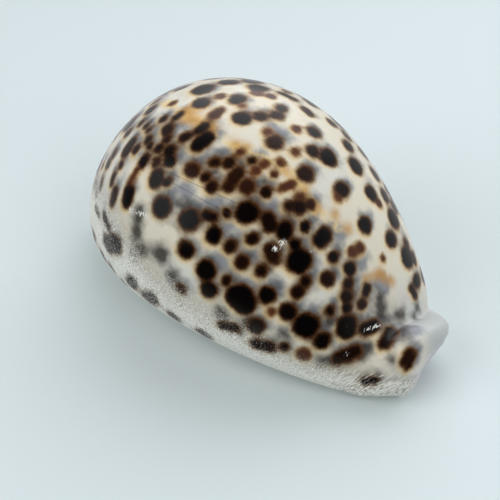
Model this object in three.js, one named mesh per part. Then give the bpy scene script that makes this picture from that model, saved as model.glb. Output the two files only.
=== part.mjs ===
// A spotted cowrie shell lying on its base, as one hollow piece.
//
// Millimetres. +X points to the narrow front end, -Y to the outer lip, +Z up.
// The origin is under the middle of the shell, on the surface that it rests on.
//
// A cowrie is one thick sheet rolled over on itself: its two long edges, the lips,
// face each other across a slit that runs along the base and out through both ends.
// The solid is made in that way. A block of three directions, along the shell,
// around it from lip to lip, and through its wall, is bent into the rolled sheet.

import * as THREE from 'three';
import { mergeVertices } from 'three/addons/utils/BufferGeometryUtils.js';

// Overall size
const LENGTH = 88;
const WIDTH = 56;
const HEIGHT = 45.7;
const HALF_LENGTH = LENGTH / 2;

// Outline from above and from the side: where each end would close, and its fullness.
// A fullness of one half is round, and more is drawn out.
const PLAN = { back: -44.4, front: 45.7, backFullness: 0.474, frontFullness: 0.62 };
const CROWN = { back: -44.3, front: 36.9, backFullness: 0.5, frontFullness: 0.635 };

// Raised rims of the two canals, and how the front rim flares
const FRONT_RIM = { top: 13, run: 21.5 };
const BACK_RIM = { top: 8, run: 8 };
const RIM_BLEND = 2.4;
const FLARE = { width: 2.3, run: 10.5 };
const FRONT_ROUND = 2.2;

// The front end leans back towards the sole and the inner lip, so its canal opens downwards
const FRONT_LEAN = { across: 0.32, down: 0.6, fromY: 4, fromZ: 7.5, run: 14, softness: 2 };

// The neck behind the front rim is filled on the outer-lip side, by the angle from the crown in radians
const NECK_FILL = { slope: 0.25, softness: 2, from: 0.7, turn: 1.2, run: 24 };

// The inner-lip side is a little slimmer towards the front
const SLIM = { share: 0.095, run: 45 };

// Section: height of the widest line as a share of the height, roundness, and the worn sole
const MARGIN_SHARE = 0.365;
const DOME_ROUNDNESS = 2.04;
const SOLE_ROUNDNESS = 2.5;
const SOLE_WORN = 0.6;
const LIFT = { front: 1.1, back: 2.5, run: 20 };

// Wall thickness at the back end, in the middle and at the front end
const OUTER_LIP_WALL = { back: 2, middle: 3.2, front: 8 };
const INNER_LIP_WALL = { back: 2, middle: 3.2, front: 5 };
const TOP_WALL = { back: 2.4, middle: 2.6, front: 8.8 };
const BASE_WALL = { back: 2.6, middle: 5, front: 2 };
const BACK_WALL = { inside: 2.6, rim: 0.8, run: 3 };
const WALL_RUN = 14;

// Slit between the lips: its bow towards the outer lip, its bend at each end, and its width
const SLIT_BOW = -3.5;
const BACK_BEND = { offset: 1.5, run: 30 };
const FRONT_BEND = { offset: 2, run: 16 };
const GAP = { back: 4, middle: 4.8, front: 6 };
const LIP_ROUND = 2.6;
const END_LIP_ROUND = 1.3;

// Teeth along both lips
const TEETH = { count: 23, back: -37.5, front: 36.5, depth: 1, outerReach: 6.5, innerReach: 5.5 };

// Fineness of the solid
const STEPS_PER_TOOTH = 3;
const BACK_STEPS = 5;
const FRONT_STEPS = 4;
const TOOTH_STEPS = TEETH.count * STEPS_PER_TOOTH;
const STATIONS = BACK_STEPS + TOOTH_STEPS + FRONT_STEPS;
const ROWS_AROUND = 26;
const ROWS_THROUGH = 4;
const LIP_CROWDING = 0.56;
const STEEPEST_LIP = 0.97;

// Small curves that the shape is built from

function ease(t) {
  const s = Math.min(Math.max(t, 0), 1);
  return s * s * (3 - 2 * s);
}

function nearFront(x, run) {
  return ease(1 - (HALF_LENGTH - x) / run);
}

function nearBack(x, run) {
  return ease(1 - (HALF_LENGTH + x) / run);
}

// Goes from the middle value to each end's own value over a run at that end
function alongShell(values, x, run) {
  const towardsBack = (values.back - values.middle) * nearBack(x, run);
  const towardsFront = (values.front - values.middle) * nearFront(x, run);
  return values.middle + towardsBack + towardsFront;
}

// Rises from nothing at the back pole to one, and falls to nothing at the front pole
function swell(x, { back, front, backFullness, frontFullness }) {
  const q = (x - back) / (front - back);
  if (q <= 0 || q >= 1) return 0;
  const peak = backFullness / (backFullness + frontFullness);
  return (q / peak) ** backFullness * ((1 - q) / (1 - peak)) ** frontFullness;
}

// Nothing below zero and the value itself above it, rounded within the softness on both sides
function softRamp(value, softness) {
  const rounded = Math.min(Math.max(value + softness, 0), 2 * softness);
  return rounded ** 2 / (4 * softness) + Math.max(value - softness, 0);
}

function signedPower(value, power) {
  return Math.sign(value) * Math.abs(value) ** power;
}

// Outline of the shell at a place along it

function halfWidth(x) {
  return (WIDTH / 2) * swell(x, PLAN) + FLARE.width * nearFront(x, FLARE.run);
}

function crownHeight(x) {
  const body = HEIGHT * swell(x, CROWN);
  const frontRim = FRONT_RIM.top * nearFront(x, FRONT_RIM.run);
  const backRim = BACK_RIM.top * nearBack(x, BACK_RIM.run);
  return (body ** RIM_BLEND + (frontRim + backRim) ** RIM_BLEND) ** (1 / RIM_BLEND);
}

function neckFill(x) {
  const level = FRONT_RIM.top + NECK_FILL.slope * (HALF_LENGTH - x);
  return softRamp(level - crownHeight(x), NECK_FILL.softness) * nearFront(x, NECK_FILL.run);
}

function soleHeight(x) {
  return LIFT.front * nearFront(x, LIFT.run) ** 2 + LIFT.back * nearBack(x, LIFT.run) ** 2;
}

function middleLine(x) {
  return BACK_BEND.offset * nearBack(x, BACK_BEND.run);
}

function slitLine(x) {
  const bow = SLIT_BOW * (1 - (x / HALF_LENGTH) ** 2);
  return bow + FRONT_BEND.offset * nearFront(x, FRONT_BEND.run);
}

// Sections of the outer face and of the hollow at a place along the shell

function outerSection(x) {
  const slim = SLIM.share * nearFront(x, SLIM.run) * (1 - nearFront(x, FLARE.run));
  return {
    x,
    outerLipWidth: halfWidth(x),
    innerLipWidth: halfWidth(x) * (1 - slim),
    top: crownHeight(x),
    base: soleHeight(x),
    worn: SOLE_WORN,
    fill: neckFill(x),
  };
}

function hollowSection(x) {
  const outer = outerSection(x);
  const backWall = BACK_WALL.inside + (BACK_WALL.rim - BACK_WALL.inside) * nearBack(x, BACK_WALL.run);
  return {
    x: x + backWall * nearBack(x, WALL_RUN),
    outerLipWidth: outer.outerLipWidth - alongShell(OUTER_LIP_WALL, x, WALL_RUN),
    innerLipWidth: outer.innerLipWidth - alongShell(INNER_LIP_WALL, x, WALL_RUN),
    top: outer.top - alongShell(TOP_WALL, x, WALL_RUN),
    base: outer.base + alongShell(BASE_WALL, x, WALL_RUN),
    worn: 0,
    fill: 0,
  };
}

// Angle from the crown at which a section reaches a distance from the middle line, low on its side
function lipAngle(distance, width) {
  const share = signedPower(distance / width, SOLE_ROUNDNESS / 2);
  return Math.PI - Math.asin(Math.min(share, STEEPEST_LIP));
}

// Point of a section at an angle from the crown, negative on the outer-lip side
function sectionPoint(section, angle, middle) {
  const width = Math.sin(angle) < 0 ? section.outerLipWidth : section.innerLipWidth;
  const widest = section.base + (section.top - section.base) * MARGIN_SHARE;
  const overMargin = Math.cos(angle) >= 0;
  const roundness = overMargin ? DOME_ROUNDNESS : SOLE_ROUNDNESS;
  const filled = section.fill * ease((NECK_FILL.from - angle) / NECK_FILL.turn);
  const reach = overMargin ? section.top + filled - widest : widest - section.base + section.worn;
  const y = middle + width * signedPower(Math.sin(angle), 2 / roundness);
  const z = widest + reach * signedPower(Math.cos(angle), 2 / roundness);
  return new THREE.Vector3(section.x, y, Math.max(z, section.base));
}

// Place along the shell of a numbered station, closer together at the back end
function stationPlace(station) {
  const backEnd = -HALF_LENGTH;
  const frontEnd = HALF_LENGTH - FRONT_ROUND;
  if (station < BACK_STEPS) {
    return backEnd + (TEETH.back - backEnd) * (station / BACK_STEPS) ** 2;
  }
  const toothStep = station - BACK_STEPS;
  if (toothStep <= TOOTH_STEPS) {
    return TEETH.back + ((TEETH.front - TEETH.back) * toothStep) / TOOTH_STEPS;
  }
  return TEETH.front + ((frontEnd - TEETH.front) * (toothStep - TOOTH_STEPS)) / FRONT_STEPS;
}

// Depth of the groove beside a tooth, nothing on a crest and past the toothed stretch
function grooveDepth(x) {
  const teethAlong = ((x - TEETH.back) / (TEETH.front - TEETH.back)) * TEETH.count;
  if (teethAlong < 0 || teethAlong > TEETH.count) return 0;
  return (TEETH.depth * (1 - Math.cos(2 * Math.PI * teethAlong))) / 2;
}

// How far a point near the front end moves back, so that the end face looks down and to the inner lip
function frontLean({ x, y, z }) {
  const across = FRONT_LEAN.across * (y - FRONT_LEAN.fromY);
  const down = FRONT_LEAN.down * (FRONT_LEAN.fromZ - z);
  return softRamp(across + down, FRONT_LEAN.softness) * nearFront(x, FRONT_LEAN.run);
}

// Point of the rolled sheet: 0 to 1 from back to front, from outer lip to inner lip,
// and from the outer face through the wall to the hollow
function shellPoint(along, around, through) {
  const x = stationPlace(along * STATIONS);
  const middle = middleLine(x);
  const slit = slitLine(x);
  const halfGap = alongShell(GAP, x, HALF_LENGTH) / 2;
  const lipRound = alongShell({ back: END_LIP_ROUND, middle: LIP_ROUND, front: LIP_ROUND }, x, BACK_RIM.run);
  const crowded = around - (LIP_CROWDING * Math.sin(2 * Math.PI * around)) / (2 * Math.PI);

  const outer = outerSection(x);
  const [outerFace, hollowFace] = [outer, hollowSection(x)].map((section) => {
    const outerLip = lipAngle(halfGap + lipRound - slit, section.outerLipWidth);
    const innerLip = lipAngle(halfGap + lipRound + slit, section.innerLipWidth);
    return sectionPoint(section, -outerLip + (outerLip + innerLip) * crowded, middle);
  });

  // The rounded edges: both lips towards the slit, and the front rim outwards
  const point = outerFace.lerp(hollowFace, (1 - Math.cos(Math.PI * through)) / 2);
  const bulge = Math.sin(Math.PI * through);
  const groove = grooveDepth(x);
  const lipBulge = bulge * (lipRound - groove);
  if (around === 0) point.y += lipBulge;
  if (around === 1) point.y -= lipBulge;
  if (along === 1) point.x += bulge * FRONT_ROUND;

  // The grooves run out from the lips over the sole
  const fromSlit = point.y - middle - slit;
  const reach = fromSlit < 0 ? TEETH.outerReach : TEETH.innerReach;
  const onSole = 1 - ease((point.z - outer.base) / lipRound);
  point.z += groove * onSole * ease(1 - (Math.abs(fromSlit) - halfGap) / reach);
  point.x -= frontLean(point);
  return point;
}

function bentSheet() {
  const sheet = new THREE.BoxGeometry(1, 1, 1, STATIONS, ROWS_AROUND, ROWS_THROUGH);
  sheet.deleteAttribute('normal');
  sheet.deleteAttribute('uv');
  const corners = sheet.getAttribute('position');
  for (let i = 0; i < corners.count; i += 1) {
    const along = Math.round((corners.getX(i) + 0.5) * STATIONS) / STATIONS;
    const around = Math.round((corners.getY(i) + 0.5) * ROWS_AROUND) / ROWS_AROUND;
    const through = Math.round((0.5 - corners.getZ(i)) * ROWS_THROUGH) / ROWS_THROUGH;
    const { x, y, z } = shellPoint(along, around, through);
    corners.setXYZ(i, x, y, z);
  }
  const closed = mergeVertices(sheet);
  closed.computeVertexNormals();
  return closed;
}

const enamel = new THREE.MeshStandardMaterial({ color: 0xb59f86, roughness: 0.15, metalness: 0 });

const shell = new THREE.Mesh(bentSheet(), enamel);
shell.name = 'shell';

const cowrie = new THREE.Group();
cowrie.name = 'cowrie';
cowrie.add(shell);

export default cowrie;
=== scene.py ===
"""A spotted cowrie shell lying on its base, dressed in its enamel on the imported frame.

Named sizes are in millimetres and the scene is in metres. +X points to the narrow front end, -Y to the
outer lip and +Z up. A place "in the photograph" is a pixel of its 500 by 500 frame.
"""

import math
import random

import bmesh
import bpy
import numpy as np
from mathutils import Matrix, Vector
from mathutils.bvhtree import BVHTree


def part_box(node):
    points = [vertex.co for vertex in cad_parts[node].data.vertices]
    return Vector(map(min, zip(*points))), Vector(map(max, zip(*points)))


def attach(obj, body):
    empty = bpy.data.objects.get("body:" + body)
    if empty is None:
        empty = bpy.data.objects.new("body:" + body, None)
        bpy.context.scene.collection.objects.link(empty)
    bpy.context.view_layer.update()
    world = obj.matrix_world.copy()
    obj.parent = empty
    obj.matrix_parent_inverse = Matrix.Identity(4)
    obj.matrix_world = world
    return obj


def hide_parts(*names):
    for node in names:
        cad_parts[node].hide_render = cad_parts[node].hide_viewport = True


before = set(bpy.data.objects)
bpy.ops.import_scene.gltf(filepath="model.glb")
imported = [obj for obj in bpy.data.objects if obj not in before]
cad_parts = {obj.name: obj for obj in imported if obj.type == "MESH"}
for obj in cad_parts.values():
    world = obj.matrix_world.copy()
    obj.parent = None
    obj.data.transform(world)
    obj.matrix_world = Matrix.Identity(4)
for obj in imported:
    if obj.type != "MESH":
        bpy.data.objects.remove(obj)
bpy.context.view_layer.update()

MM = 0.001
TINY = 1e-9

# Overall size, from the frame
LOWEST, HIGHEST = (np.array(corner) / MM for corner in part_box("shell"))
HALF_LENGTH = (HIGHEST[0] - LOWEST[0]) / 2
HALF_WIDTH = -LOWEST[1]
HEIGHT = HIGHEST[2]

# Outline from above and from the side: where each end would close, and its fullness
PLAN = {"back": -44.4, "front": 45.7, "back_fullness": 0.474, "front_fullness": 0.62}
CROWN = {"back": -44.3, "front": 36.9, "back_fullness": 0.5, "front_fullness": 0.635}

# Raised rims of the two canals, and how the front rim flares
FRONT_RIM = {"top": 13, "run": 21.5}
BACK_RIM = {"top": 8, "run": 8}
RIM_BLEND = 2.4
FLARE = {"width": 2.3, "run": 10.5}
FRONT_ROUND = 2.2

# The front end leans back towards the sole and the inner lip, so its canal opens downwards
FRONT_LEAN = {"across": 0.32, "down": 0.6, "from_y": 4, "from_z": 7.5, "run": 14, "softness": 2}

# The neck behind the front rim is filled on the outer-lip side, by the angle from the crown in radians
NECK_FILL = {"slope": 0.25, "softness": 2, "from": 0.7, "turn": 1.2, "run": 24}

# The inner-lip side is a little slimmer towards the front
SLIM = {"share": 0.095, "run": 45}

# Section: height of the widest line as a share of the height, roundness, and the worn sole
MARGIN_SHARE = 0.365
DOME_ROUNDNESS = 2.04
SOLE_ROUNDNESS = 2.5
SOLE_WORN = 0.6
SOLE_SOFTNESS = 0.25
LIFT = {"front": 1.1, "back": 2.5, "run": 20}

# Wall thickness at the back end, in the middle and at the front end
OUTER_LIP_WALL = {"back": 2, "middle": 3.2, "front": 8}
INNER_LIP_WALL = {"back": 2, "middle": 3.2, "front": 5}
TOP_WALL = {"back": 2.4, "middle": 2.6, "front": 8.8}
BASE_WALL = {"back": 2.6, "middle": 5, "front": 2}
BACK_WALL = {"inside": 2.6, "rim": 0.8, "run": 3}
WALL_RUN = 14

# Slit between the lips: its bow towards the outer lip, its bend at the back, and its width
SLIT_BOW = -3.5
BACK_BEND = {"offset": 1.5, "run": 30}
FRONT_BEND = {"offset": 2, "run": 16}
GAP = {"back": 4, "middle": 4.8, "front": 6}
LIP_ROUND = {"back": 1.3, "middle": 2.6, "front": 2.6}
STEEPEST_LIP = 0.97

# Teeth along both lips
TEETH = {"count": 23, "back": -37.5, "front": 36.5, "depth": 1, "outer_reach": 6.5, "inner_reach": 5.5}

# Fineness of the piece: steps along the shell, around it and through its wall
STATIONS = 300
ROWS = 240
LAYERS = 6
END_CROWDING = 0.45
LIP_CROWDING = 0.35

# The unit block that the shell is bent from: half its side, and its lines for each line in the hollow
BLOCK_HALF = 0.5
LINES_PER_HOLLOW_LINE = 2

# Slow unevenness of the back, as a grown surface has it: two crossing waves that fade out towards the sole
UNEVEN = {"depth": 0.1, "length": 6.5, "bend": 1.7, "bends": 2, "lobes": 3, "slant": 0.6, "fade": 2}

# Camera of the photograph
PHOTO_SIZE = 500
PHOTO_MIDDLE = PHOTO_SIZE / 2
SENSOR_WIDTH = 36
CAMERA_AZIMUTH = math.radians(40.2)
CAMERA_ELEVATION = math.radians(42.25)
CAMERA_DISTANCE = 257
CAMERA_TARGET = np.array((-0.45, -4.0, 13.35))
FOCAL_PIXELS = 1210

# A sight line that passes the shell is moved towards this place in the photograph until it meets it
SHELL_MIDDLE = np.array((260.0, 240.0))
SIGHT_STEP = 0.02

# Spots in the photograph: across, down and radius; a long spot has its two tips before half its width
BACK_END_SPOTS = [
    (163, 119, 4), (173, 119, 184, 112, 3.5), (168, 129, 6.5), (141, 123, 4), (146, 126, 3), (149, 130, 3),
    (123, 157, 135, 138, 6), (134, 153, 138, 145, 4.5), (148, 140, 4), (150, 146, 3), (167, 139, 4),
    (159, 148, 4.5), (170, 151, 6), (170, 161, 6.5), (180, 141, 190, 134, 4.5), (195, 133, 208, 124, 4.5),
    (192, 150, 212, 134, 7), (145, 155, 142, 168, 5), (121, 165, 3.5), (131, 185, 125, 208, 7),
    (117, 187, 111, 206, 4.5), (115, 172, 111, 185, 2.7), (160, 170, 153, 188, 6.8), (167, 182, 4.5),
]
CROWN_SPOTS = [
    (203, 89, 11), (237, 99, 7.5), (201, 103, 8), (242, 118, 8), (281, 108, 5.5),
    (277, 115, 6), (215, 162, 5.5), (266, 192, 5), (252, 161, 4),
]
FAR_SIDE_SPOTS = [
    (314, 132, 6.5), (313, 151, 6.5), (328, 157, 9.5), (302, 107, 313, 116, 4),
    (332, 123, 5.5), (348, 146, 7), (356, 166, 9), (375, 174, 7.5), (371, 193, 8),
    (385, 196, 7), (394, 219, 9.5), (391, 239, 8), (365, 225, 8), (407, 257, 10.5),
]
MIDDLE_SPOTS = [
    (308, 222, 302, 232, 4), (329, 230, 316, 246, 7.5),
    (295, 245, 5.5), (299, 261, 12.5), (334, 257, 5.5), (328, 279, 7), (350, 268, 6.5), (348, 284, 5.5),
    (347, 297, 6.5), (347, 308, 5), (306, 281, 5.5), (297, 292, 6.5), (247, 212, 11.5), (227, 213, 4),
    (265, 212, 273, 232, 7), (288, 221, 282, 239, 7.5), (253, 238, 5.5),
]
NEAR_SIDE_SPOTS = [
    (213, 235, 8), (230, 246, 6), (268, 244, 276, 264, 7), (242, 262, 7), (206, 270, 10.5), (261, 271, 6),
    (226, 281, 5), (267, 295, 8), (288, 312, 8.5), (306, 326, 12.5), (322, 341, 8), (330, 311, 5),
    (347, 327, 11.5), (232, 286, 250, 312, 13.5), (256, 326, 8.5), (209, 290, 8.5), (162, 207, 10),
    (189, 220, 10.5), (186, 250, 8.5), (201, 215, 218, 218, 5),
]
FAR_RIM_SPOTS = [
    (278, 92, 297, 101, 3.5), (347, 136, 6), (363, 153, 7), (397, 206, 7), (406, 243, 5), (414, 258, 6),
    (417, 281, 7), (258, 88, 9), (228, 82, 9), (96, 195, 5), (103, 177, 100, 190, 3), (108, 164, 5),
    (114, 154, 5), (128, 133, 5), (150, 110, 6),
]
FRONT_END_SPOTS = [
    (368, 285, 364, 297, 4.5), (362, 304, 5), (379, 324, 359, 331, 6), (394, 329, 382, 348, 6.5),
    (333, 360, 361, 350, 6), (410, 286, 416, 298, 3.5),
]
DARK_SPOTS = (
    BACK_END_SPOTS
    + CROWN_SPOTS
    + FAR_SIDE_SPOTS
    + MIDDLE_SPOTS
    + NEAR_SIDE_SPOTS
    + FAR_RIM_SPOTS
    + FRONT_END_SPOTS
)

# Spots with a rusty cast, and smaller reddish ones between all of them
RUSTY_SPOTS = [
    (192, 170, 7.5), (275, 142, 8), (261, 116, 6), (247, 187, 8), (306, 174, 8.5), (342, 190, 8),
    (290, 206, 5.5), (300, 207, 7), (310, 205, 5), (156, 162, 4.5), (181, 288, 4.5),
    (412, 350, 405, 369, 6), (240, 168, 226, 191, 5.5), (229, 163, 6), (206, 177, 5), (211, 187, 5.5),
]
BROWN_SPOTS = [
    (221, 96, 4.5), (211, 118, 223, 108, 4.5), (242, 106, 3), (268, 132, 4.5), (257, 93, 5.5),
    (270, 96, 4.5), (256, 170, 4.5), (264, 164, 4), (281, 162, 3.5), (274, 175, 3.5), (296, 152, 4.5),
    (297, 129, 4), (338, 197, 4.5), (278, 190, 295, 183, 3), (352, 252, 5), (360, 248, 5),
    (303, 354, 7), (272, 312, 4), (300, 197, 5), (379, 203, 4),
    (383, 258, 2.5), (173, 103, 3.5), (138, 168, 129, 186, 3), (240, 152, 4),
]

# Spots under the frosted enamel of the margins
MARGIN_SPOTS = [
    (104, 245, 122, 243, 12), (103, 212, 110, 231, 5), (95, 206, 100, 217, 3.5), (118, 289, 136, 280, 10),
    (136, 305, 156, 296, 11), (160, 327, 178, 317, 10.5), (192, 343, 209, 335, 11), (217, 325, 241, 329, 6),
    (248, 342, 278, 349, 9), (285, 347, 6), (360, 383, 379, 379, 5),
]

# Spots so deep in the enamel that they are no more than dark smoke
DEEP_SPOTS = [
    (404, 310, 403, 340, 5), (391, 361, 4), (397, 315, 5), (379, 291, 384, 322, 7.5),
    (418, 305, 414, 319, 3), (326, 362, 374, 347, 9), (322, 360, 6), (284, 333, 7), (233, 330, 7),
    (312, 335, 6), (330, 322, 7), (141, 250, 8), (133, 256, 6), (222, 313, 7), (246, 322, 7),
    (205, 281, 6), (181, 205, 6), (140, 204, 137, 243, 7), (172, 275, 8), (181, 288, 7), (160, 254, 11),
    (162, 206, 13), (189, 219, 14), (243, 163, 229, 185, 5), (265, 182, 5.5), (215, 162, 6),
]

# Blue-grey patches deep in the enamel, besides the one beside each dark spot
DEEP_PATCHES = [
    (203, 160, 8), (228, 153, 6), (241, 154, 5), (251, 159, 4.5), (272, 128, 7), (283, 133, 6),
    (340, 233, 6), (361, 260, 7), (382, 285, 9), (186, 190, 9), (215, 203, 10), (222, 226, 8),
    (240, 240, 7), (256, 255, 7), (218, 257, 7), (152, 133, 5), (180, 150, 7), (414, 330, 7),
    (160, 131, 8), (170, 144, 8), (184, 126, 7), (150, 152, 7), (190, 158, 8), (199, 150, 6), (143, 150, 5),
]

# The golden line along the crown, where the two sides of the mantle met, and amber stains near it
GOLDEN_LINE = [(163, 102), (187, 115), (231, 143), (282, 166), (300, 190), (318, 211), (338, 228)]
AMBER_STAINS = [
    (180, 114, 208, 104, 5), (184, 118, 216, 130, 6), (192, 112, 7), (236, 144, 4), (247, 147, 4),
    (284, 170, 5), (294, 181, 5), (304, 190, 5), (335, 214, 5), (348, 228, 5), (318, 208, 4),
    (364, 280, 380, 272, 3), (378, 272, 394, 283, 3),
]

# Scuffs worn into the gloss
SCUFFS = [
    (128, 209, 150, 217, 3.5), (271, 250, 287, 240, 4.5), (312, 250, 3), (363, 331, 381, 324, 3),
    (203, 273, 1), (347, 326, 1), (347, 354, 3), (326, 345, 1.5),
]

# Painted reflection: the dark edges of a window frame mirrored in the gloss, by their two ends in the
# photograph
MIRRORED_FRAME_EDGES = [((164, 170), (232, 201)), ((180, 187), (234, 217))]

# How the spots join, and the largest share of a long spot that its round ends take up
SPOT_JOIN = 0.25
PATCH_JOIN = 0.6
FIELD_REACH = 10
MOST_INSET = 0.5

# Tones of the spots, from 0 for black to 1 for brown, and the dark core of those under the frost
SMALL_SPOT = 1.4
DARK_TONES = (0, 0.02)
SMALL_TONES = (0, 0.12)
RUSTY_TONES = (0.04, 0.22)
BROWN_TONES = (0.4, 0.9)
VEILED_CORE = 0.72

# The way in which smoke drifts from the spots, and how far smoke, halos and patches lie along it
SMOKE_WAY = np.array((0.234, 0.819, 0.523))
SMOKE_SHIFT = 0.85
HALO_SHIFT = -0.5
PATCH_SHIFT = 2.0

# Spots scattered over the sides that the photograph hides
SCATTER_SEED = 7
SCATTER_TRIES = 60
SCATTER_RADII = (2.3, 2.0, 1.8, 1.6, 1.4, 1.2, 1.0, 0.8)
SCATTER_SIZES = (0.8, 1.15)
SCATTER_LARGE = 1.2
SCATTER_GAP = 0.8
SCATTER_LOWEST = 15
SCATTER_FOREMOST = 33
SCATTER_AWAY = 0.2
MARGIN_SCATTER_RADII = (2.0, 1.7)
MARGIN_SCATTER_HEIGHTS = (9, 17)

# Frosted margin and pale sole, by the angle from the crown
CALLUS_START = math.radians(68)
CALLUS_RUN = math.radians(32)
CALLUS_SPREAD = {"back": math.radians(32), "front": math.radians(18), "run": 45}
SOLE_START = math.radians(105)
SOLE_RUN = math.radians(20)

# Pale flange round the front canal, and the finely ridged margin beside it
FLANGE_START = 30
FLANGE_RUN = 9
FLANGE_TURN = {"start": math.radians(-35), "run": math.radians(45)}
RIDGED_START = 27
RIDGED_RUN = 8
RIDGED_TURN = {"start": math.radians(42), "run": math.radians(24)}

# Depth in the wall, 0 to 1, over which the enamel gives way to the hollow's lining
LINING_START = 0.35
LINING_RUN = 0.4


# Small curves that the shape is built from


def ease(t):
    s = np.clip(t, 0, 1)
    return s * s * (3 - 2 * s)


def half_wave(t):
    """Rises from 0 to 1 and falls back to 0 as t goes from 0 through 1 to 2."""
    return (1 - np.cos(math.pi * t)) / 2


def near_front(x, run):
    return ease(1 - (HALF_LENGTH - x) / run)


def near_back(x, run):
    return ease(1 - (HALF_LENGTH + x) / run)


def along_shell(values, x, run):
    """Goes from the middle value to each end's own value over a run at that end."""
    towards_back = (values["back"] - values["middle"]) * near_back(x, run)
    towards_front = (values["front"] - values["middle"]) * near_front(x, run)
    return values["middle"] + towards_back + towards_front


def swell(x, outline):
    """Rises from nothing at the back pole to one, and falls to nothing at the front pole."""
    q = np.clip((x - outline["back"]) / (outline["front"] - outline["back"]), 0, 1)
    peak = outline["back_fullness"] / (outline["back_fullness"] + outline["front_fullness"])
    rise = (q / peak) ** outline["back_fullness"]
    fall = ((1 - q) / (1 - peak)) ** outline["front_fullness"]
    return rise * fall


def soft_ramp(value, softness):
    """Nothing below zero and the value itself above it, rounded within the softness on both sides."""
    rounded = np.clip(value + softness, 0, 2 * softness)
    return rounded**2 / (4 * softness) + np.maximum(value - softness, 0)


def signed_power(value, power):
    return np.sign(value) * np.abs(value) ** power


# Outline of the shell at a place along it


def half_width(x):
    return HALF_WIDTH * swell(x, PLAN) + FLARE["width"] * near_front(x, FLARE["run"])


def crown_height(x):
    body = HEIGHT * swell(x, CROWN)
    front_rim = FRONT_RIM["top"] * near_front(x, FRONT_RIM["run"])
    back_rim = BACK_RIM["top"] * near_back(x, BACK_RIM["run"])
    return (body**RIM_BLEND + (front_rim + back_rim) ** RIM_BLEND) ** (1 / RIM_BLEND)


def neck_fill(x):
    level = FRONT_RIM["top"] + NECK_FILL["slope"] * (HALF_LENGTH - x)
    return soft_ramp(level - crown_height(x), NECK_FILL["softness"]) * near_front(x, NECK_FILL["run"])


def sole_height(x):
    front = LIFT["front"] * near_front(x, LIFT["run"]) ** 2
    back = LIFT["back"] * near_back(x, LIFT["run"]) ** 2
    return front + back


def middle_line(x):
    return BACK_BEND["offset"] * near_back(x, BACK_BEND["run"])


def slit_line(x):
    return SLIT_BOW * (1 - (x / HALF_LENGTH) ** 2) + FRONT_BEND["offset"] * near_front(x, FRONT_BEND["run"])


# Sections of the outer face and of the hollow


def outer_section(x):
    slim = SLIM["share"] * near_front(x, SLIM["run"]) * (1 - near_front(x, FLARE["run"]))
    return {
        "x": x,
        "outer_lip_width": half_width(x),
        "inner_lip_width": half_width(x) * (1 - slim),
        "top": crown_height(x),
        "base": sole_height(x),
        "worn": SOLE_WORN,
        "fill": neck_fill(x),
    }


def hollow_section(x):
    outer = outer_section(x)
    rim_share = near_back(x, BACK_WALL["run"])
    back_wall = BACK_WALL["inside"] + (BACK_WALL["rim"] - BACK_WALL["inside"]) * rim_share
    return {
        "x": x + back_wall * near_back(x, WALL_RUN),
        "outer_lip_width": outer["outer_lip_width"] - along_shell(OUTER_LIP_WALL, x, WALL_RUN),
        "inner_lip_width": outer["inner_lip_width"] - along_shell(INNER_LIP_WALL, x, WALL_RUN),
        "top": outer["top"] - along_shell(TOP_WALL, x, WALL_RUN),
        "base": outer["base"] + along_shell(BASE_WALL, x, WALL_RUN),
        "worn": 0,
        "fill": 0,
    }


def lip_angle(distance, width):
    """Angle from the crown at which a section reaches a distance from the middle line, low on its side."""
    share = signed_power(distance / width, SOLE_ROUNDNESS / 2)
    return math.pi - np.arcsin(np.minimum(share, STEEPEST_LIP))


def section_point(section, angle, middle):
    """Point of a section at an angle from the crown, negative on the outer-lip side."""
    across = np.sin(angle)
    upward = np.cos(angle)
    over_margin = upward >= 0
    width = np.where(across < 0, section["outer_lip_width"], section["inner_lip_width"])
    widest = section["base"] + (section["top"] - section["base"]) * MARGIN_SHARE
    power = 2 / np.where(over_margin, DOME_ROUNDNESS, SOLE_ROUNDNESS)
    filled = section["fill"] * ease((NECK_FILL["from"] - angle) / NECK_FILL["turn"])
    above = section["top"] + filled - widest
    below = widest - section["base"] + section["worn"]
    reach = np.where(over_margin, above, below)
    y = middle + width * signed_power(across, power)
    over_base = widest + reach * signed_power(upward, power) - section["base"]
    worn_flat = (over_base + np.hypot(over_base, SOLE_SOFTNESS)) / 2
    return np.stack((section["x"], y, section["base"] + worn_flat), axis=1)


def station_place(along):
    """Place along the shell, with the stations closer together at both ends."""
    front_end = HALF_LENGTH - FRONT_ROUND
    share = along + END_CROWDING * (half_wave(along) - along)
    return -HALF_LENGTH + (front_end + HALF_LENGTH) * share


def groove_depth(x):
    """Depth of the groove beside a tooth, nothing on a crest and past the toothed stretch."""
    teeth_along = (x - TEETH["back"]) / (TEETH["front"] - TEETH["back"]) * TEETH["count"]
    toothed = (teeth_along > 0) & (teeth_along < TEETH["count"])
    return np.where(toothed, TEETH["depth"] * half_wave(2 * teeth_along), 0)


def unevenness(x, angle):
    along = x / UNEVEN["length"]
    bent = np.sin(along + UNEVEN["bend"] * np.sin(UNEVEN["bends"] * angle))
    lobed = np.sin(UNEVEN["lobes"] * angle + UNEVEN["slant"] * along)
    return UNEVEN["depth"] * (bent + lobed) * ease(UNEVEN["fade"] * (1 + np.cos(angle)) - 1)


def front_lean(points):
    """How far each point near the front moves back, so that the end looks down and to the inner lip."""
    x, y, z = points.T
    across = FRONT_LEAN["across"] * (y - FRONT_LEAN["from_y"])
    down = FRONT_LEAN["down"] * (FRONT_LEAN["from_z"] - z)
    return soft_ramp(across + down, FRONT_LEAN["softness"]) * near_front(x, FRONT_LEAN["run"])


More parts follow.
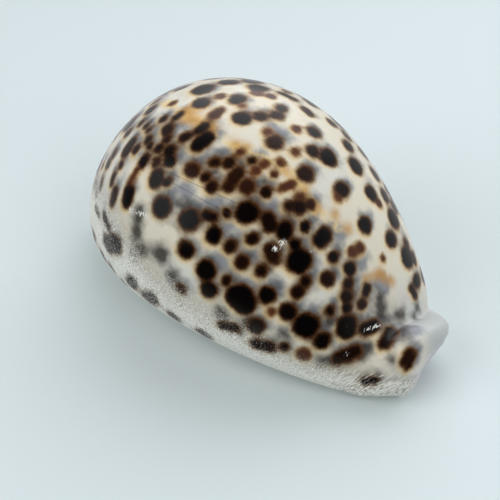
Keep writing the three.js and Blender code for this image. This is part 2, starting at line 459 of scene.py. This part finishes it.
def shell_points(along, around, through):
    """Points of the rolled sheet and their angles from the crown.

    The three go from 0 to 1: from back to front, from the outer lip to the inner lip, and from the outer
    face through the wall to the hollow.
    """
    x = station_place(along)
    middle = middle_line(x)
    slit = slit_line(x)
    half_gap = along_shell(GAP, x, HALF_LENGTH) / 2
    lip_round = along_shell(LIP_ROUND, x, BACK_RIM["run"])
    crowded = around - LIP_CROWDING * np.sin(2 * math.pi * around) / (2 * math.pi)

    def face_point(section):
        outer_lip = lip_angle(half_gap + lip_round - slit, section["outer_lip_width"])
        inner_lip = lip_angle(half_gap + lip_round + slit, section["inner_lip_width"])
        angle = -outer_lip + (outer_lip + inner_lip) * crowded
        return section_point(section, angle, middle), angle

    outer = outer_section(x)
    outer_face, angle = face_point(outer)
    hollow_face, _ = face_point(hollow_section(x))
    outer_face[:, 1] += unevenness(x, angle) * np.sin(angle)
    outer_face[:, 2] += unevenness(x, angle) * np.maximum(np.cos(angle), 0)

    # The rounded edges: both lips towards the slit, and the front rim outwards
    points = outer_face + half_wave(through)[:, None] * (hollow_face - outer_face)
    bulge = np.sin(math.pi * through)
    groove = groove_depth(x)
    towards_slit = np.where(around < TINY, 1, np.where(around > 1 - TINY, -1, 0))
    points[:, 1] += towards_slit * bulge * (lip_round - groove)
    points[:, 0] += np.where(along > 1 - TINY, bulge * FRONT_ROUND, 0)

    # The grooves run out from the lips over the sole
    from_slit = points[:, 1] - middle - slit
    reach = np.where(from_slit < 0, TEETH["outer_reach"], TEETH["inner_reach"])
    on_sole = 1 - ease((points[:, 2] - outer["base"]) / lip_round)
    points[:, 2] += groove * on_sole * ease(1 - (np.abs(from_slit) - half_gap) / reach)
    points[:, 0] -= front_lean(points)
    return points, angle


# The piece


def cut_block():
    """A unit block cut along the shell, around it and through its wall."""
    block = bmesh.new()
    bmesh.ops.create_cube(block, size=2 * BLOCK_HALF)
    for axis, pieces in enumerate((STATIONS, ROWS, LAYERS)):
        spanning = [e for e in block.edges if abs(e.verts[0].co[axis] - e.verts[1].co[axis]) > TINY]
        bmesh.ops.subdivide_edges(block, edges=spanning, cuts=pieces - 1, use_grid_fill=True)
    return block


def thin_hollow_face(block):
    """Takes every other line out of the face that becomes the hollow."""
    spare = []
    for edge in block.edges:
        start, end = (vertex.co for vertex in edge.verts)
        if max(start.z, end.z) > TINY - BLOCK_HALF:
            continue
        crossways = abs(start.x - end.x) < TINY
        line = (start.x + BLOCK_HALF) * STATIONS if crossways else (start.y + BLOCK_HALF) * ROWS
        if round(line) % LINES_PER_HOLLOW_LINE:
            spare.append(edge)
    bmesh.ops.dissolve_edges(block, edges=spare, use_verts=True)


def make_shell():
    """The rolled sheet as one object, with each vertex's angle from the crown and depth in the wall."""
    block = cut_block()
    thin_hollow_face(block)
    mesh = bpy.data.meshes.new("cowrie_shell")
    block.to_mesh(mesh)
    block.free()

    # The top of the block becomes the outer face, so the depth in the wall counts downwards
    corners = np.empty(3 * len(mesh.vertices))
    mesh.vertices.foreach_get("co", corners)
    along, around, through = (corners.reshape(-1, 3) * (1, 1, -1) + BLOCK_HALF).T
    points, angles = shell_points(along, around, through)
    mesh.vertices.foreach_set("co", (points * MM).ravel())
    mesh.shade_smooth()
    mesh.update()

    shell = bpy.data.objects.new("cowrie_shell", mesh)
    bpy.context.collection.objects.link(shell)
    return shell, points, angles, through


# Camera and sight lines


def view_axes():
    """Right, up and back of the camera."""
    sin_a, cos_a = math.sin(CAMERA_AZIMUTH), math.cos(CAMERA_AZIMUTH)
    sin_e, cos_e = math.sin(CAMERA_ELEVATION), math.cos(CAMERA_ELEVATION)
    right = np.array((cos_a, sin_a, 0))
    up = np.array((-sin_a * sin_e, cos_a * sin_e, cos_e))
    back = np.array((sin_a * cos_e, -cos_a * cos_e, sin_e))
    return right, up, back


RIGHT, UP, BACK = view_axes()
CAMERA_PLACE = CAMERA_TARGET + CAMERA_DISTANCE * BACK


def sight_line(place):
    """Direction in which the camera sees a place in the photograph."""
    across, down = place
    line = RIGHT * (across - PHOTO_MIDDLE) + UP * (PHOTO_MIDDLE - down) - BACK * FOCAL_PIXELS
    return line / np.linalg.norm(line)


def find_on_shell(tree, place):
    """Point of the shell seen at a place in the photograph, and its distance from the camera."""
    place = np.array(place, dtype=float)
    while True:
        hit, _, _, distance = tree.ray_cast(Vector(CAMERA_PLACE * MM), Vector(sight_line(place)))
        if hit is not None:
            return np.array(hit) / MM, distance / MM
        place += SIGHT_STEP * (SHELL_MIDDLE - place)


def lay_spot(tree, spot):
    """Both ends of a spot's middle line on the shell and its radius, from its tips in the photograph."""
    *tips, radius = spot
    first, distance = find_on_shell(tree, tips[:2])
    last, _ = find_on_shell(tree, tips[-2:])
    size = radius * distance / FOCAL_PIXELS
    length = np.linalg.norm(last - first)
    inset = min(size / max(length, TINY), MOST_INSET) * (last - first)
    return first + inset, last - inset, size


# Fields of distance over the shell, in millimetres


def distance_to(points, start, end):
    axis = end - start
    share = np.clip((points - start) @ axis / max(axis @ axis, TINY), 0, 1)
    return np.linalg.norm(points - start - share[:, None] * axis, axis=1)


def edge_field(points, spots, join):
    """Distance from each point to the edge of its nearest spot, negative inside; near spots join softly."""
    nearness = np.full(len(points), math.exp(-FIELD_REACH / join))
    for start, end, radius in spots:
        nearness += np.exp((radius - distance_to(points, start, end)) / join)
    return -join * np.log(nearness)


def tone_field(points, toned_spots):
    """Tone of the nearest spot, 0 for the darkest."""
    weight = np.full(len(points), TINY)
    total = np.zeros(len(points))
    for (start, end, radius), tone in toned_spots:
        nearness = np.exp((radius - distance_to(points, start, end)) / SPOT_JOIN)
        weight += nearness
        total += tone * nearness
    return total / weight


def line_field(points, route):
    """Distance from each point to a line laid over the shell."""
    stretches = [distance_to(points, start, end) for start, end in zip(route, route[1:])]
    return np.min(stretches, axis=0)


def scatter_spots(dice, places, radii, taken):
    """Spots of the given radii thrown on the given points, largest first, clear of those already there."""
    centres = np.array([end for spot in taken for end in spot[:2]])
    sizes = np.array([spot[2] for spot in taken for _ in spot[:2]])
    thrown = []
    for radius in radii:
        for _ in range(SCATTER_TRIES):
            centre = places[dice.randrange(len(places))]
            size = radius * dice.uniform(*SCATTER_SIZES)
            if np.all(np.linalg.norm(centres - centre, axis=1) > sizes + size + SCATTER_GAP):
                thrown.append((centre, centre, size))
                centres = np.vstack((centres, centre))
                sizes = np.append(sizes, size)
    return thrown


def shifted(spots, distance):
    """The spots moved the way in which their smoke drifts."""
    drift = distance * SMOKE_WAY
    return [(start + drift, end + drift, radius) for start, end, radius in spots]


def write_field(mesh, name, values):
    mesh.attributes.new(name, "FLOAT", "POINT").data.foreach_set("value", values.astype(np.float32))


def hidden_places(mesh, points, through):
    """Points of the outer face that are turned away from the photograph."""
    normals = np.empty(3 * len(points))
    mesh.vertices.foreach_get("normal", normals)
    to_camera = CAMERA_PLACE - points
    facing = np.sum(normals.reshape(-1, 3) * to_camera, axis=1) / np.linalg.norm(to_camera, axis=1)
    return points[(facing < SCATTER_AWAY) & (through < TINY)]


def lay_spots(mesh, tree, points, through):
    """Writes the fields of the spots, with more of their kinds on the sides that the photograph hides."""
    dice = random.Random(SCATTER_SEED)
    dark = [lay_spot(tree, spot) for spot in DARK_SPOTS]
    rusty = [lay_spot(tree, spot) for spot in RUSTY_SPOTS]
    brown = [lay_spot(tree, spot) for spot in BROWN_SPOTS]
    veiled = [lay_spot(tree, spot) for spot in MARGIN_SPOTS]
    deep = [lay_spot(tree, spot) for spot in DEEP_SPOTS]
    patches = [lay_spot(tree, spot) for spot in DEEP_PATCHES]

    hidden = hidden_places(mesh, points, through)
    low, high = MARGIN_SCATTER_HEIGHTS
    on_back = hidden[(hidden[:, 2] > SCATTER_LOWEST) & (hidden[:, 0] < SCATTER_FOREMOST)]
    on_margin = hidden[(hidden[:, 2] > low) & (hidden[:, 2] < high) & (hidden[:, 0] < SCATTER_FOREMOST)]
    scattered = scatter_spots(dice, on_back, SCATTER_RADII, dark + rusty + brown + veiled)
    veiled += scatter_spots(dice, on_margin, MARGIN_SCATTER_RADII, dark + veiled + scattered)
    large = [spot for spot in scattered if spot[2] > SCATTER_LARGE]
    small = [spot for spot in scattered if spot[2] <= SCATTER_LARGE]

    toned = []
    cores = [(start, end, VEILED_CORE * radius) for start, end, radius in veiled]
    for spot in dark + large + cores:
        tones = SMALL_TONES if spot[2] < SMALL_SPOT else DARK_TONES
        toned.append((spot, dice.uniform(*tones)))
    toned += [(spot, dice.uniform(*RUSTY_TONES)) for spot in rusty]
    toned += [(spot, dice.uniform(*BROWN_TONES)) for spot in brown + small]
    smoky = shifted(dark + rusty + large + veiled, SMOKE_SHIFT) + deep
    patches += shifted(dark + rusty + scattered, PATCH_SHIFT)
    edged = [spot for spot, _ in toned]
    write_field(mesh, "spot_edge", edge_field(points, edged, SPOT_JOIN))
    write_field(mesh, "spot_tone", tone_field(points, toned))
    write_field(mesh, "halo_edge", edge_field(points, shifted(edged, HALO_SHIFT), SPOT_JOIN))
    write_field(mesh, "veiled_edge", edge_field(points, veiled, PATCH_JOIN))
    write_field(mesh, "smoke_edge", edge_field(points, smoky, PATCH_JOIN))
    write_field(mesh, "patch_edge", edge_field(points, patches, PATCH_JOIN))


def lay_zones(mesh, points, angles, through):
    """Writes the fields of the margin, the flange, the sole and the hollow."""
    x = points[:, 0]
    turn = np.abs(angles)
    on_near_side = ease(-angles / RIDGED_TURN["run"])
    flange_turn = ease((angles - FLANGE_TURN["start"]) / FLANGE_TURN["run"])
    ridged_turn = ease((turn - RIDGED_TURN["start"]) / RIDGED_TURN["run"])
    at_front = ease((x - RIDGED_START) / RIDGED_RUN) * on_near_side
    spread = CALLUS_SPREAD["front"] * at_front + CALLUS_SPREAD["back"] * near_back(x, CALLUS_SPREAD["run"])
    write_field(mesh, "callus", ease((turn - CALLUS_START + spread) / CALLUS_RUN))
    write_field(mesh, "sole", ease((turn - SOLE_START) / SOLE_RUN))
    write_field(mesh, "flange", ease((x - FLANGE_START) / FLANGE_RUN) * flange_turn)
    write_field(mesh, "ridged", ease((x - RIDGED_START) / RIDGED_RUN) * ridged_turn * on_near_side)
    write_field(mesh, "lining", ease((through - LINING_START) / LINING_RUN))


def lay_pattern(shell, points, angles, through):
    """Writes the pattern of the enamel on the shell as fields that its material reads."""
    mesh = shell.data
    tree = BVHTree.FromObject(shell, bpy.context.evaluated_depsgraph_get())
    lay_spots(mesh, tree, points, through)
    lay_zones(mesh, points, angles, through)
    route = [find_on_shell(tree, place)[0] for place in GOLDEN_LINE]
    stains = [lay_spot(tree, stain) for stain in AMBER_STAINS]
    scuffs = [lay_spot(tree, scuff) for scuff in SCUFFS]
    write_field(mesh, "line_distance", line_field(points, route))
    write_field(mesh, "amber_edge", edge_field(points, stains, PATCH_JOIN))
    write_field(mesh, "scuff_edge", edge_field(points, scuffs, SPOT_JOIN))
    # Painted reflection: distance from each point to the mirrored dark edges of a window frame
    stretches = [[find_on_shell(tree, place)[0] for place in ends] for ends in MIRRORED_FRAME_EDGES]
    write_field(mesh, "mirrored_frame_distance", np.min([line_field(points, ends) for ends in stretches], axis=0))


# Shader maths as Python expressions

# Numbers of a Mix node's sockets for colours, which share their names with those for values
MIX = {"factor": 0, "first": 6, "second": 7, "result": 2}

# The curve from a screen's levels to light
SCREEN = {"white": 255, "dark_limit": 0.04045, "dark_slope": 12.92, "offset": 0.055, "power": 2.4}


class Wire:
    """A socket of a material's node tree that Python's operators work on."""

    def __init__(self, tree, socket):
        self.tree = tree
        self.socket = socket

    def maths(self, operation, first, second):
        return add_node(self.tree, "ShaderNodeMath", {"operation": operation}, {0: first, 1: second})

    def __add__(self, other):
        return self.maths("ADD", self, other)

    def __radd__(self, other):
        return self.maths("ADD", other, self)

    def __sub__(self, other):
        return self.maths("SUBTRACT", self, other)

    def __rsub__(self, other):
        return self.maths("SUBTRACT", other, self)

    def __mul__(self, other):
        return self.maths("MULTIPLY", self, other)

    def __rmul__(self, other):
        return self.maths("MULTIPLY", other, self)

    def size(self):
        """The value without its sign."""
        return self.maths("ABSOLUTE", self, 0)

    def step(self, start, end):
        """Goes smoothly from 0 at the start value to 1 at the end value."""
        settings = {"interpolation_type": "SMOOTHSTEP"}
        if start > end:
            return 1 - self.step(end, start)
        inputs = {"Value": self, "From Min": start, "From Max": end}
        return add_node(self.tree, "ShaderNodeMapRange", settings, inputs)


def add_node(tree, kind, settings, inputs, output=0):
    """Adds a node: its settings first, then the values or links of its sockets."""
    node = tree.nodes.new(kind)
    for name, value in settings.items():
        setattr(node, name, value)
    for name, value in inputs.items():
        if isinstance(value, Wire):
            tree.links.new(value.socket, node.inputs[name])
        else:
            node.inputs[name].default_value = value
    return Wire(tree, node.outputs[output])


def blend(tree, factor, first, second):
    """The first colour where the factor is 0, and the second where it is 1."""
    settings = {"data_type": "RGBA", "clamp_factor": True}
    inputs = {MIX["factor"]: factor, MIX["first"]: first, MIX["second"]: second}
    return add_node(tree, "ShaderNodeMix", settings, inputs, output=MIX["result"])


def field(tree, name):
    return add_node(tree, "ShaderNodeAttribute", {"attribute_name": name}, {}, output="Fac")


def coordinates(tree, kind):
    return add_node(tree, "ShaderNodeTexCoord", {}, {}, output=kind)


def reach_along(tree, place, way):
    """How far a place reaches in a direction."""
    settings = {"operation": "DOT_PRODUCT"}
    return add_node(tree, "ShaderNodeVectorMath", settings, {0: place, 1: tuple(way)}, output="Value")


def noise(tree, size, detail=2.0, roughness=0.5, turn=(0, 0, 0), stretch=(1, 1, 1)):
    """Noise from -1 to 1 whose lumps are about a size in millimetres, stretched along turned axes."""
    turned = {"Vector": coordinates(tree, "Object"), "Rotation": turn, "Scale": stretch}
    place = add_node(tree, "ShaderNodeMapping", {"vector_type": "TEXTURE"}, turned)
    inputs = {"Vector": place, "Scale": 1 / (size * MM), "Detail": detail, "Roughness": roughness}
    return 2 * add_node(tree, "ShaderNodeTexNoise", {}, inputs) - 1


def colour(red, green, blue):
    """A colour from its red, green and blue as a screen shows them, 0 to 255."""

    def linear(level):
        share = level / SCREEN["white"]
        if share <= SCREEN["dark_limit"]:
            return share / SCREEN["dark_slope"]
        return ((share + SCREEN["offset"]) / (1 + SCREEN["offset"])) ** SCREEN["power"]

    return (linear(red), linear(green), linear(blue), 1.0)


# Colours of the enamel
CREAM = colour(222, 216, 199)
COOL_CREAM = colour(212, 218, 218)
DUSKY_CREAM = colour(192, 180, 158)
GOLD = colour(230, 200, 130)
AMBER = colour(192, 142, 62)
PATCH_GREY = colour(130, 134, 142)
SMOKE = colour(44, 40, 38)
HALO = colour(219, 188, 124)
SPOT_RIM = colour(84, 48, 17)
SPOT_CORE = colour(3, 2, 2)
BROWN_RIM = colour(138, 96, 58)
BROWN_CORE = colour(92, 52, 34)
UNDER_FROST = colour(92, 84, 74)
FROST = colour(238, 238, 230)
# Front flange: partly its own pale grey, partly painted shade
FLANGE_GREY_AND_SHADE = colour(172, 180, 184)
SOLE = colour(240, 235, 222)
LINING = colour(206, 196, 204)
SCUFFED = colour(235, 235, 230)
# Painted reflection: the dark edges of a window frame mirrored in the gloss
MIRRORED_FRAME_DARK = colour(52, 48, 52)

# Fades, in millimetres from an edge or a line: where each starts and where it is full
CORE_FADE = (0.5, -0.75)
RIM_FADE = (1.05, -0.5)
HALO_FADE = (1.5, 0.0)
SMOKE_FADE = (1.6, -1.2)
PATCH_FADE = (1.7, -0.7)
VEILED_FADE = (1.4, -1.2)
LINE_FADE = (1.9, 0.1)
AMBER_FADE = (1.4, -1.1)
SCUFF_FADE = (0.1, -0.4)
# The next two fade the painted reflection of a window frame's edges: across each line, and along its reach
MIRRORED_FRAME_FADE = (0.14, 0.03)
MIRRORED_FRAME_REACH_FADE = (2.2, 1.4)

# How far each edge wavers, in millimetres, and over what length
EDGE_WAVER = {"depth": 0.6, "length": 2.4}
EDGE_GRAIN = {"depth": 0.08, "length": 0.6}
SMOKE_WAVER = {"depth": 1.2, "length": 2.2}
PATCH_WAVER = {"depth": 2.0, "length": 3.0}
LINE_WAVER = {"depth": 1.1, "length": 5.0}
STAIN_WAVER = {"depth": 0.8, "length": 3.0}
SCUFF_WAVER = {"depth": 0.4, "length": 0.8}

# Mottling: the size of its patches in millimetres, their detail, and the noise where each starts and is full
COOL_MOTTLE = {"size": 14, "detail": 2, "fade": (-0.1, 0.6)}
DUSK_MOTTLE = {"size": 5, "detail": 3, "fade": (0, 0.7)}
GOLD_MOTTLE = {"size": 1.5, "detail": 4, "fade": (-0.35, 0.35)}
SCRATCHES = {"size": 0.3, "detail": 3, "stretch": (1, 3, 3), "fade": (-0.05, 0.3)}

# Shares of each layer over the one below it
COOL_SHARE = 0.6
DUSK_SHARE = 0.5
GOLD_SHARE = 0.85
AMBER_SHARE = 0.85
PATCH_SHARE = 0.9
SMOKE_SHARE = 0.92
HALO_SHARE = 0.75
FROST_UNDER_SHARE = 0.7
# Share of the flange's grey, which is partly painted shade
FLANGE_GREY_AND_SHADE_SHARE = 0.8
# Share of the painted reflection of a window frame's dark edges
MIRRORED_FRAME_SHARE = 0.45

# White grain of the frost: its level in noise from -1 to 1 where there is no frost and where it is full
GRAIN_NONE = 0.6
GRAIN_FULL = -0.25
GRAIN_SOFTNESS = 0.36
FROST_THINNED = 0.6
RIDGES_THINNED = 0.15
SPOTS_CLEAR = 0.85
FROST_EDGE = (0.02, 0.25)

# Noise of the loose grain, and of the ridges that run across the margin beside the front canal
GRAIN = {"size": 0.3, "detail": 3, "roughness": 0.6}
RIDGE_TURN = (0, math.radians(52.7), math.radians(50.4))
RIDGES = {"size": 0.22, "detail": 2, "turn": RIDGE_TURN, "stretch": (1, 1, 8)}
GRAIN_RELIEF = 0.03

# Gloss
GLOSS_ROUGHNESS = 0.13
GLOSS_WAVER = {"depth": 0.03, "length": 3}
FROST_ROUGHNESS = 0.3
ENAMEL_IOR = 1.48
ENAMEL_SHINE = 0.25


def waver(tree, plan):
    return plan["depth"] * noise(tree, plan["length"])


def mottle(tree, plan):
    """Soft patches of noise: 0 between them and 1 inside."""
    return noise(tree, plan["size"], plan["detail"]).step(*plan["fade"])


def even_share(share):
    """The share of a dark colour over a light one that fades evenly to the eye."""
    left = 1 - share
    return 1 - left * left


def ground_colour(tree):
    """Cream between the spots, cooler and duskier in slow patches."""
    cool = COOL_SHARE * mottle(tree, COOL_MOTTLE)
    dusk = DUSK_SHARE * mottle(tree, DUSK_MOTTLE)
    return blend(tree, dusk, blend(tree, cool, CREAM, COOL_CREAM), DUSKY_CREAM)


def with_flange_grey_and_shade(tree, under):
    """The front flange: partly its own pale grey, partly painted shade."""
    return blend(tree, FLANGE_GREY_AND_SHADE_SHARE * field(tree, "flange"), under, FLANGE_GREY_AND_SHADE)


def with_golden_line(tree, under):
    """The wavy golden line along the crown and the amber stains near it."""
    line = field(tree, "line_distance") + waver(tree, LINE_WAVER)
    stain = field(tree, "amber_edge") + waver(tree, STAIN_WAVER)
    golden_share = GOLD_SHARE * mottle(tree, GOLD_MOTTLE) * line.step(*LINE_FADE)
    golden = blend(tree, golden_share, under, GOLD)
    return blend(tree, AMBER_SHARE * stain.step(*AMBER_FADE), golden, AMBER)


def with_smoke(tree, under):
    """Blue-grey patches and, nearer the spots, dark smoke that drifts from each to one side."""
    patch = (field(tree, "patch_edge") + waver(tree, PATCH_WAVER)).step(*PATCH_FADE)
    smoke = (field(tree, "smoke_edge") + waver(tree, SMOKE_WAVER)).step(*SMOKE_FADE)
    greyed = blend(tree, PATCH_SHARE * patch, under, PATCH_GREY)
    return blend(tree, SMOKE_SHARE * smoke, greyed, SMOKE), smoke


def with_spots(tree, under):
    """Spots over their smoke and the golden line: pale golden halos, brown rims and black cores."""
    edge = field(tree, "spot_edge") + waver(tree, EDGE_WAVER) + waver(tree, EDGE_GRAIN)
    tone = field(tree, "spot_tone")
    smoky, smoke = with_smoke(tree, under)
    gilded = with_golden_line(tree, smoky)
    rim = blend(tree, tone, SPOT_RIM, BROWN_RIM)
    core = blend(tree, tone, SPOT_CORE, BROWN_CORE)
    halo = (field(tree, "halo_edge") + waver(tree, EDGE_WAVER)).step(*HALO_FADE)
    haloed = blend(tree, HALO_SHARE * halo * (1 - smoke), gilded, HALO)
    rimmed = blend(tree, even_share(edge.step(*RIM_FADE)), haloed, rim)
    return blend(tree, even_share(edge.step(*CORE_FADE)), rimmed, core)


def frost_grain(tree):
    """Grain of the frosted margins, drawn out into fine ridges beside the front canal."""
    loose = noise(tree, **GRAIN)
    drawn = noise(tree, **RIDGES)
    return loose + field(tree, "ridged") * (drawn - loose)


def with_frost(tree, under):
    """The frosted margins: a white grain, thinner over the spots there and clear of those above them."""
    veiled = (field(tree, "veiled_edge") + waver(tree, SMOKE_WAVER)).step(*VEILED_FADE)
    callus = field(tree, "callus")
    spotted = field(tree, "spot_edge").step(*RIM_FADE)
    clear = callus * (1 - SPOTS_CLEAR * spotted * (1 - callus))
    cover = clear * (1 - FROST_THINNED * veiled) * (1 - RIDGES_THINNED * field(tree, "ridged"))
    level = frost_grain(tree) + cover * (GRAIN_NONE - GRAIN_FULL)
    white = level.step(GRAIN_NONE - GRAIN_SOFTNESS, GRAIN_NONE + GRAIN_SOFTNESS) * clear.step(*FROST_EDGE)
    dulled = blend(tree, FROST_UNDER_SHARE * callus * (1 - veiled), under, UNDER_FROST)
    return blend(tree, white, dulled, FROST), white


def with_mirrored_frame_edges(tree, under):
    """Painted reflection of a window frame's dark edges, finer than the mesh: each line is where a plane
    through its two ends cuts the shell.
    """
    place = coordinates(tree, "Object")
    drawn = 0
    for start, end in MIRRORED_FRAME_EDGES:
        across = np.cross(sight_line(start), sight_line(end))
        across /= np.linalg.norm(across)
        from_plane = reach_along(tree, place, across / MM) - across @ CAMERA_PLACE
        drawn = drawn + from_plane.size().step(*MIRRORED_FRAME_FADE)
    near = field(tree, "mirrored_frame_distance").step(*MIRRORED_FRAME_REACH_FADE)
    return blend(tree, MIRRORED_FRAME_SHARE * near * drawn, under, MIRRORED_FRAME_DARK)


def with_wear(tree, under):
    """Scuffs: small white scratches in the gloss."""
    scratches = noise(tree, SCRATCHES["size"], SCRATCHES["detail"], stretch=SCRATCHES["stretch"])
    scuffed = (field(tree, "scuff_edge") + waver(tree, SCUFF_WAVER)).step(*SCUFF_FADE)
    return blend(tree, scuffed * scratches.step(*SCRATCHES["fade"]), under, SCUFFED)


def enamel_relief(tree, white):
    """Raised grain of the frost, as a bumped normal."""
    height = GRAIN_RELIEF * field(tree, "callus") * white
    return add_node(tree, "ShaderNodeBump", {}, {"Height": height, "Distance": MM})


def enamel_material():
    material = bpy.data.materials.new("enamel")
    material.use_nodes = True
    tree = material.node_tree
    shader = tree.nodes["Principled BSDF"]

    ground = with_flange_grey_and_shade(tree, ground_colour(tree))
    # A painted reflection of a window frame's dark edges goes over the spots
    lined = with_mirrored_frame_edges(tree, with_spots(tree, ground))
    frosted, white = with_frost(tree, lined)
    outside = blend(tree, field(tree, "sole"), with_wear(tree, frosted), SOLE)
    everywhere = blend(tree, field(tree, "lining"), outside, LINING)
    gloss = GLOSS_ROUGHNESS + waver(tree, GLOSS_WAVER)
    roughness = gloss + FROST_ROUGHNESS * field(tree, "callus")

    tree.links.new(everywhere.socket, shader.inputs["Base Color"])
    tree.links.new(roughness.socket, shader.inputs["Roughness"])
    tree.links.new(enamel_relief(tree, white).socket, shader.inputs["Normal"])
    shader.inputs["IOR"].default_value = ENAMEL_IOR
    shader.inputs["Specular IOR Level"].default_value = ENAMEL_SHINE
    return material


# Stage


FLOOR_WIDTH = 3000
FLOOR_COLOUR = colour(211, 222, 225)
FLOOR_ROUGHNESS = 0.9
FLOOR_GLOSS = 0.1

# The studio round the shell: pale, and unlit on the camera's side
STUDIO_COLOUR = colour(250, 252, 255)
STUDIO_LIT = 0.6
STUDIO_UNLIT = 0.05
UNLIT_FROM = (15, 15)
UNLIT_FADE = (-0.4, 0.55)

# Glows in the studio that the gloss mirrors: direction, strength and how near to it each starts and is full
GLOWS = [
    {"from": (-34, 28), "strength": 1.0, "fade": (0.86, 0.98)},
    {"from": (-152, 38), "strength": 1.5, "fade": (0.75, 0.98)},
]

# Soft lights: direction from the shell as azimuth and elevation, distance, size and radiance
LIGHTS = {
    "back_panel": {"from": (160, 48), "distance": 340, "size": 340, "radiance": 0.95},
    "front_fill": {"from": (78, 42), "distance": 900, "size": 500, "radiance": 2.6},
    "left_fill": {"from": (-25, 40), "distance": 900, "size": 800, "radiance": 1.75},
}
LIGHT_TINT = (1, 0.99, 0.97)


def floor_material():
    material = bpy.data.materials.new("floor")
    material.use_nodes = True
    shader = material.node_tree.nodes["Principled BSDF"]
    shader.inputs["Base Color"].default_value = FLOOR_COLOUR
    shader.inputs["Roughness"].default_value = FLOOR_ROUGHNESS
    shader.inputs["Specular IOR Level"].default_value = FLOOR_GLOSS
    return material


def make_floor():
    board = bmesh.new()
    bmesh.ops.create_grid(board, x_segments=1, y_segments=1, size=FLOOR_WIDTH * MM / 2)
    mesh = bpy.data.meshes.new("floor")
    board.to_mesh(mesh)
    board.free()
    mesh.materials.append(floor_material())
    floor = bpy.data.objects.new("floor", mesh)
    bpy.context.collection.objects.link(floor)
    floor.visible_glossy = False


def direction(azimuth, elevation):
    """Direction from the shell towards a light, with azimuths as for the camera, in degrees."""
    turn, tilt = math.radians(azimuth), math.radians(elevation)
    return np.array((math.sin(turn) * math.cos(tilt), -math.cos(turn) * math.cos(tilt), math.sin(tilt)))


def add_light(name, plan):
    """A soft square light that faces the shell and that the gloss doesn't mirror."""
    side = plan["size"] * MM
    towards = direction(*plan["from"])
    lamp = bpy.data.lights.new(name, "AREA")
    lamp.shape = "SQUARE"
    lamp.size = side
    lamp.energy = plan["radiance"] * math.pi * side**2
    lamp.color = LIGHT_TINT
    light = bpy.data.objects.new(name, lamp)
    light.location = Vector((CAMERA_TARGET + towards * plan["distance"]) * MM)
    light.rotation_euler = Vector(towards).to_track_quat("Z", "Y").to_euler()
    light.visible_glossy = False
    bpy.context.collection.objects.link(light)


def facing(tree, angles):
    """How nearly a part of the studio lies in a direction from the shell, up to 1."""
    return reach_along(tree, coordinates(tree, "Generated"), direction(*angles))


def light_studio():
    """Soft light from all round, but for the unlit side, with a few glows."""
    world = bpy.data.worlds.new("studio")
    world.use_nodes = True
    tree = world.node_tree
    unlit = (STUDIO_LIT - STUDIO_UNLIT) * facing(tree, UNLIT_FROM).step(*UNLIT_FADE)
    strength = STUDIO_LIT - unlit
    for glow in GLOWS:
        strength += glow["strength"] * facing(tree, glow["from"]).step(*glow["fade"])
    sky = tree.nodes["Background"]
    sky.inputs["Color"].default_value = STUDIO_COLOUR
    tree.links.new(strength.socket, sky.inputs["Strength"])
    bpy.context.scene.world = world


def make_lights():
    light_studio()
    for name, plan in LIGHTS.items():
        add_light(name, plan)


def make_camera():
    camera = bpy.data.objects.new("camera", bpy.data.cameras.new("camera"))
    camera.data.sensor_width = SENSOR_WIDTH
    camera.data.lens = SENSOR_WIDTH * FOCAL_PIXELS / PHOTO_SIZE
    camera.location = Vector(CAMERA_PLACE * MM)
    camera.rotation_euler = Vector(BACK).to_track_quat("Z", "Y").to_euler()
    bpy.context.collection.objects.link(camera)
    bpy.context.scene.camera = camera


def main():
    shell, points, angles, through = make_shell()
    lay_pattern(shell, points, angles, through)
    shell.data.materials.append(enamel_material())
    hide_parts("shell")
    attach(shell, "root")
    make_floor()
    make_lights()
    make_camera()
    bpy.context.scene.view_settings.view_transform = "Standard"


main()
